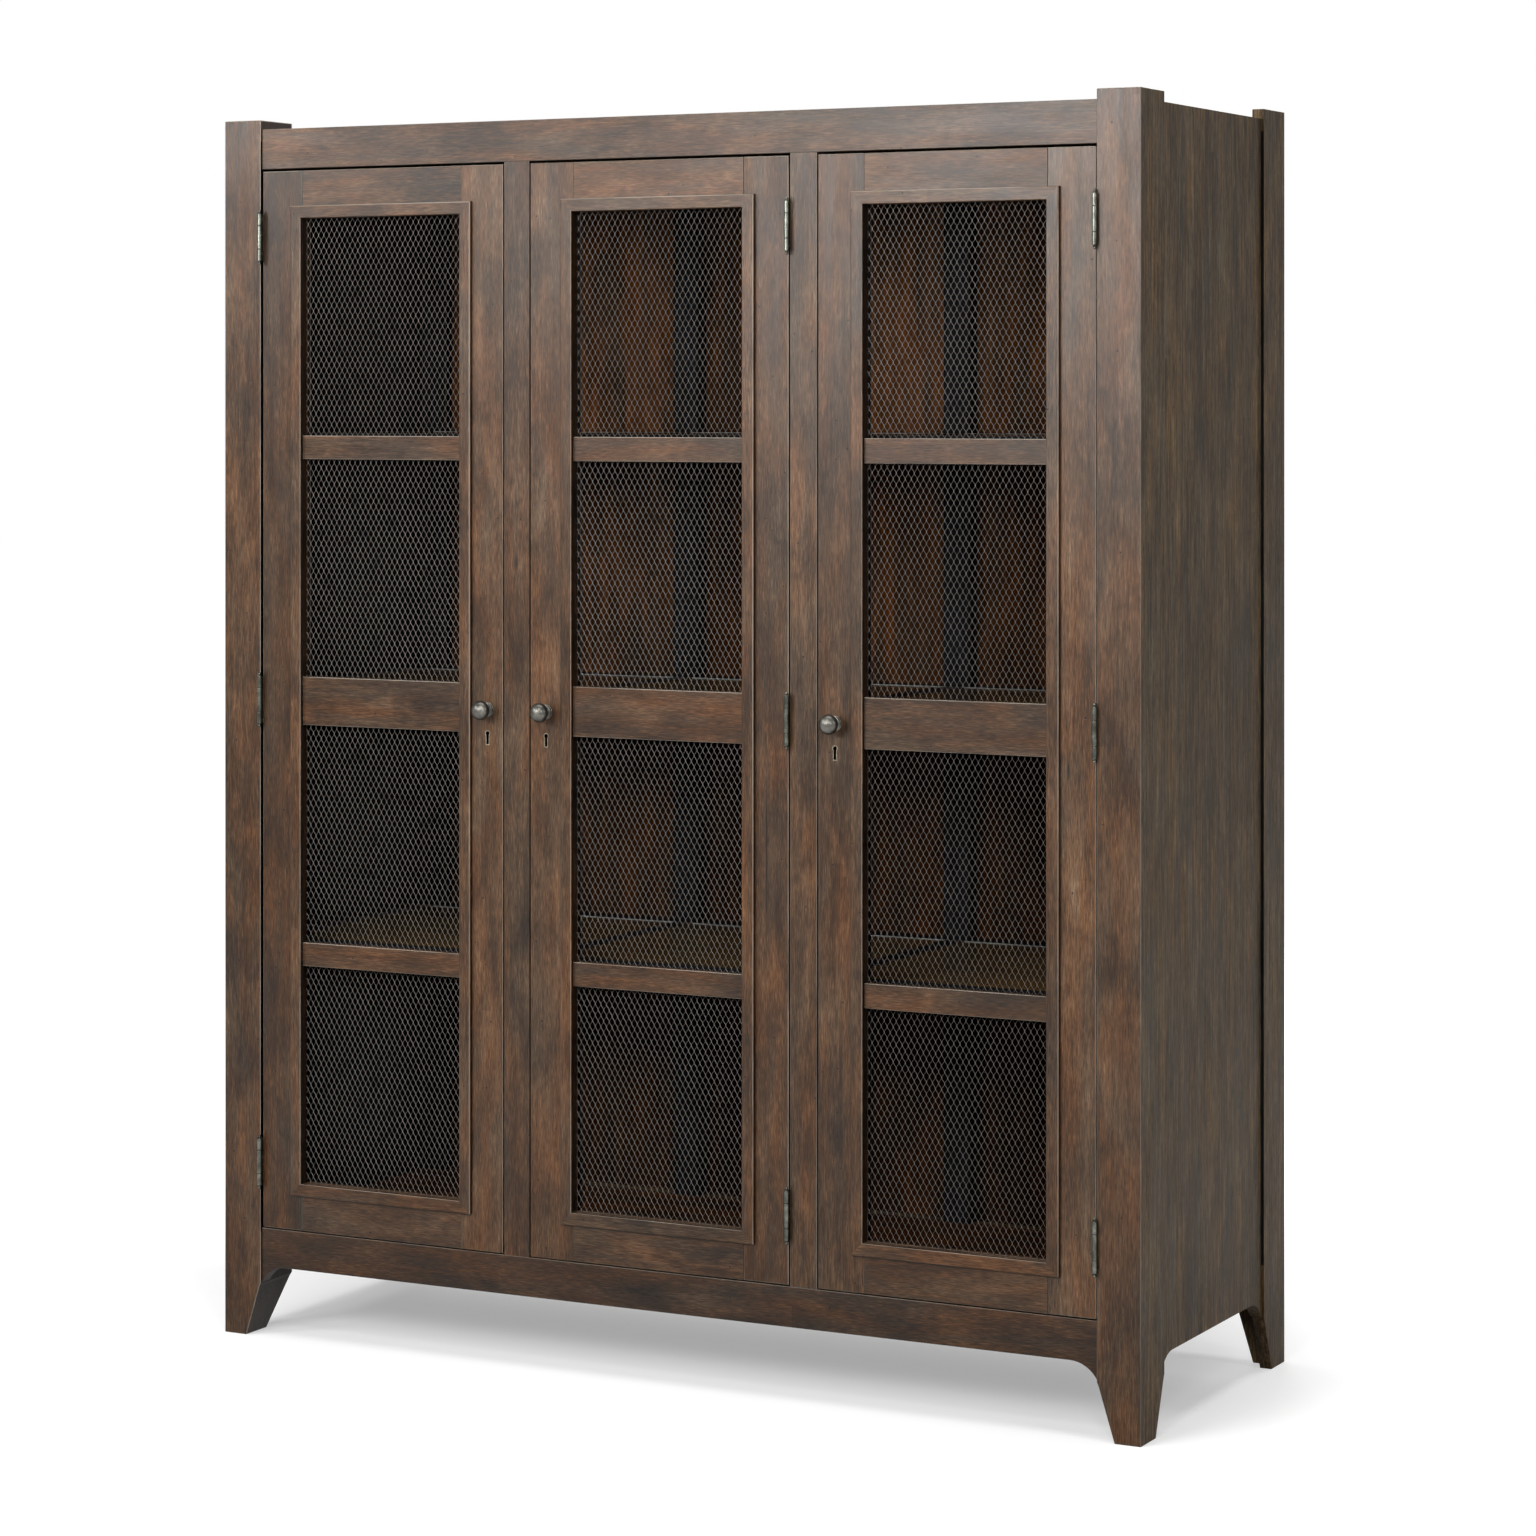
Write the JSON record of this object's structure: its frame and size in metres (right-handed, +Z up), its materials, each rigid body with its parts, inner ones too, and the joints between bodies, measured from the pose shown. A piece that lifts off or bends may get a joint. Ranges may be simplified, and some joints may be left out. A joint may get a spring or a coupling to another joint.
{
  "type": "dining cabinet",
  "caption": "Tall free-standing cabinet with full-height framed doors of expanded metal mesh, shelves behind crossbars, tapered bracket feet, mushroom knobs and key locks.",
  "frame": {"origin": "on the floor, under the middle of the overall box, knobs included", "axes": "+Z up, -Y out of the front with the doors, +X to the right as seen from the front"},
  "size_m": [1.612, 0.63, 1.98],
  "materials": {
    "case_wood": "satin dark stained hardwood",
    "side_wood": "satin dark stained hardwood",
    "door_wood": "satin dark stained hardwood",
    "inner_wood": "matt reddish stained veneer",
    "mesh_metal": "satin black expanded metal",
    "hardware_metal": "antique pewter",
    "lock_metal": "dull nickel",
    "catch_plastic": "matt brown"
  },
  "bodies": {
    "case": {"front_post_left": "case_wood", "front_post_right": "case_wood", "back_post_left": "case_wood", "back_post_right": "case_wood", "top_rail": "case_wood", "bottom_rail": "case_wood", "mullion_left": "case_wood", "mullion_right": "case_wood", "side_panel_left": "side_wood", "side_panel_right": "side_wood", "top_panel": "inner_wood", "floor_panel": "inner_wood", "back_rail_top": "inner_wood", "back_rail_bottom": "inner_wood", "back_stile_left": "inner_wood", "back_stile_right": "inner_wood", "back_panel": "inner_wood", "shelf_upper": "inner_wood", "shelf_middle": "inner_wood", "shelf_lower": "inner_wood", "shelf_cleats": "inner_wood", "case_hinge_leaves": "hardware_metal", "hinge_pins": "hardware_metal", "door_catches": "catch_plastic"},
    "door_left": {"hinge_stile_left": "door_wood", "lock_stile_left": "door_wood", "door_top_rail_left": "door_wood", "door_bottom_rail_left": "door_wood", "crossbars_left": "door_wood", "bead_left": "door_wood", "mesh_panel_left": "mesh_metal", "mesh_strips_left": "door_wood", "hinge_leaves_left": "hardware_metal", "knob_left": "hardware_metal", "lock_left": "lock_metal"},
    "door_centre": {"hinge_stile_centre": "door_wood", "lock_stile_centre": "door_wood", "door_top_rail_centre": "door_wood", "door_bottom_rail_centre": "door_wood", "crossbars_centre": "door_wood", "bead_centre": "door_wood", "mesh_panel_centre": "mesh_metal", "mesh_strips_centre": "door_wood", "hinge_leaves_centre": "hardware_metal", "knob_centre": "hardware_metal", "lock_centre": "lock_metal"},
    "door_right": {"hinge_stile_right": "door_wood", "lock_stile_right": "door_wood", "door_top_rail_right": "door_wood", "door_bottom_rail_right": "door_wood", "crossbars_right": "door_wood", "bead_right": "door_wood", "mesh_panel_right": "mesh_metal", "mesh_strips_right": "door_wood", "hinge_leaves_right": "hardware_metal", "knob_right": "hardware_metal", "lock_right": "lock_metal"},
    "bolt_left": {"lock_bolt_left": "lock_metal"},
    "bolt_centre": {"lock_bolt_centre": "lock_metal"},
    "bolt_right": {"lock_bolt_right": "lock_metal"}
  },
  "joints": [
    {"name": "door_left_swing", "type": "hinge", "parent": "case", "child": "door_left", "pos_m": [-0.7348, -0.2895, 1.037], "axis": [0, 0, -1], "range_deg": [0, 110]},
    {"name": "door_centre_swing", "type": "hinge", "parent": "case", "child": "door_centre", "pos_m": [0.2288, -0.2895, 1.037], "axis": [0, 0, 1], "range_deg": [0, 110]},
    {"name": "door_right_swing", "type": "hinge", "parent": "case", "child": "door_right", "pos_m": [0.7348, -0.2895, 1.037], "axis": [0, 0, 1], "range_deg": [0, 110]},
    {"name": "bolt_left_throw", "type": "slide", "parent": "door_left", "child": "bolt_left", "axis": [1, 0, 0], "range_m": [0, 0.008]},
    {"name": "bolt_centre_throw", "type": "slide", "parent": "door_centre", "child": "bolt_centre", "axis": [-1, 0, 0], "range_m": [0, 0.008]},
    {"name": "bolt_right_throw", "type": "slide", "parent": "door_right", "child": "bolt_right", "axis": [-1, 0, 0], "range_m": [0, 0.008]}
  ]
}
